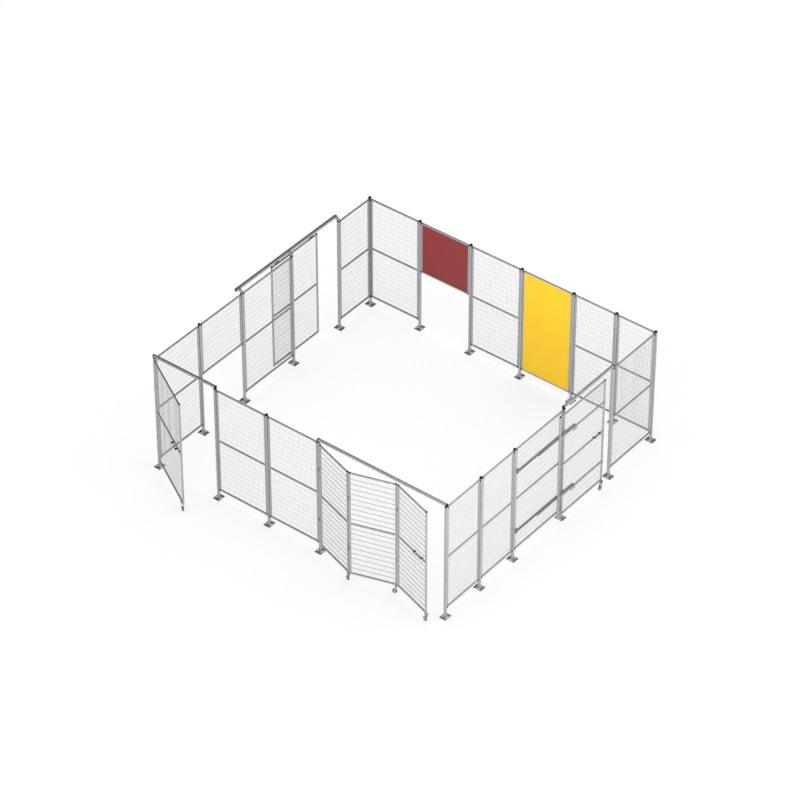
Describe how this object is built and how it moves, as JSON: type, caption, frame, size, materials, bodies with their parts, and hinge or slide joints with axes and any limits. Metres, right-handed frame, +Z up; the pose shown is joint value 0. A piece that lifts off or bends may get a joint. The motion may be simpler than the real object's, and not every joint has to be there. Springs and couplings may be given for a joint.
{
  "type": "machine guard fence enclosure",
  "caption": "Rectangular machine guard fence of posts and mesh panels with a swing door, folding door, hanging sliding door and linear sliding door.",
  "frame": {"origin": "on the floor, under the middle of the front left corner post, which carries the swing door", "axes": "+X along the front to the front right corner, +Y to the back, +Z up"},
  "size_m": [5.9625, 6.0658, 2.275],
  "materials": {
    "grey_paint": "satin grey powder coat",
    "dark_steel": "satin dark grey",
    "zinc_steel": "dull zinc plating",
    "black_plastic": "matte black",
    "black_rubber": "matte black",
    "red_paint": "matte deep red powder coat",
    "yellow_paint": "satin warm yellow powder coat"
  },
  "bodies": {
    "fence": {"posts_front": "grey_paint", "posts_right": "grey_paint", "posts_back": "grey_paint", "posts_left": "grey_paint", "foot_plates_front": "dark_steel", "foot_plates_right": "dark_steel", "foot_plates_back": "dark_steel", "foot_plates_left": "dark_steel", "post_caps": "black_plastic", "panel_clamps": "black_plastic", "door_headers": "grey_paint", "header_end_caps": "black_plastic", "front_panel_1": "grey_paint", "front_panel_2": "grey_paint", "right_panel_1": "grey_paint", "right_panel_2": "grey_paint", "right_panel_3": "grey_paint", "right_panel_4": "grey_paint", "back_panel_1": "grey_paint", "red_sheet_frame": "grey_paint", "back_panel_2": "grey_paint", "yellow_sheet_frame": "grey_paint", "back_panel_3": "grey_paint", "back_panel_4": "grey_paint", "red_sheet": "red_paint", "yellow_sheet": "yellow_paint", "left_panel_1": "grey_paint", "left_half_panel": "grey_paint", "left_panel_2": "grey_paint", "left_panel_3": "grey_paint", "overhead_rail": "grey_paint", "rail_brackets": "grey_paint", "swing_hinge_pins": "dark_steel", "guide_rails": "zinc_steel", "folding_leaf_1": "grey_paint", "folding_leaf_2": "grey_paint", "folding_leaf_3": "grey_paint", "folding_hinges": "dark_steel", "folding_handle": "black_plastic", "folding_castor_forks": "zinc_steel", "folding_wheels": "black_rubber"},
    "swing_door": {"swing_leaf": "grey_paint", "swing_hinge_sleeves": "dark_steel", "swing_handle": "black_plastic", "swing_castor_plate": "zinc_steel"},
    "swing_castor": {"swing_castor_fork": "zinc_steel"},
    "swing_castor_wheel": {"swing_wheel": "black_rubber"},
    "sliding_door": {"sliding_leaf": "grey_paint", "sliding_trolleys": "dark_steel"},
    "telescopic_bars": {"telescope_bars": "black_plastic"},
    "linear_door": {"linear_leaf": "grey_paint", "linear_carriages": "zinc_steel", "linear_handle": "black_plastic", "linear_castor_fork": "zinc_steel"},
    "linear_castor_wheel": {"linear_wheel": "black_rubber"}
  },
  "joints": [
    {"name": "swing_door_hinge", "type": "hinge", "parent": "fence", "child": "swing_door", "pos_m": [0.03, -0.038, 0], "axis": [0, 0, 1], "range_deg": [-80, 30]},
    {"name": "swing_castor_swivel", "type": "hinge", "parent": "swing_door", "child": "swing_castor", "pos_m": [0.96531, -0.578, 0.15], "axis": [0, 0, 1], "continuous": true},
    {"name": "swing_wheel_spin", "type": "hinge", "parent": "swing_castor", "child": "swing_castor_wheel", "pos_m": [0.99129, -0.593, 0.041], "axis": [0.5, 0.866, 0], "continuous": true},
    {"name": "sliding_door_slide", "type": "slide", "parent": "fence", "child": "sliding_door", "axis": [0, 1, 0], "range_m": [-0.76, 0.43]},
    {"name": "linear_door_slide", "type": "slide", "parent": "fence", "child": "linear_door", "axis": [0, 1, 0], "range_m": [-0.92, 0.26]},
    {"name": "telescopic_bar_slide", "type": "slide", "parent": "fence", "child": "telescopic_bars", "axis": [0, 1, 0], "range_m": [-0.46, 0.13]},
    {"name": "linear_wheel_spin", "type": "hinge", "parent": "linear_door", "child": "linear_castor_wheel", "pos_m": [5.822, 3.855, 0.041], "axis": [1, 0, 0], "continuous": true}
  ],
  "couplings": [
    {"joint": "telescopic_bar_slide", "follows": "linear_door_slide", "ratio": 0.5}
  ]
}
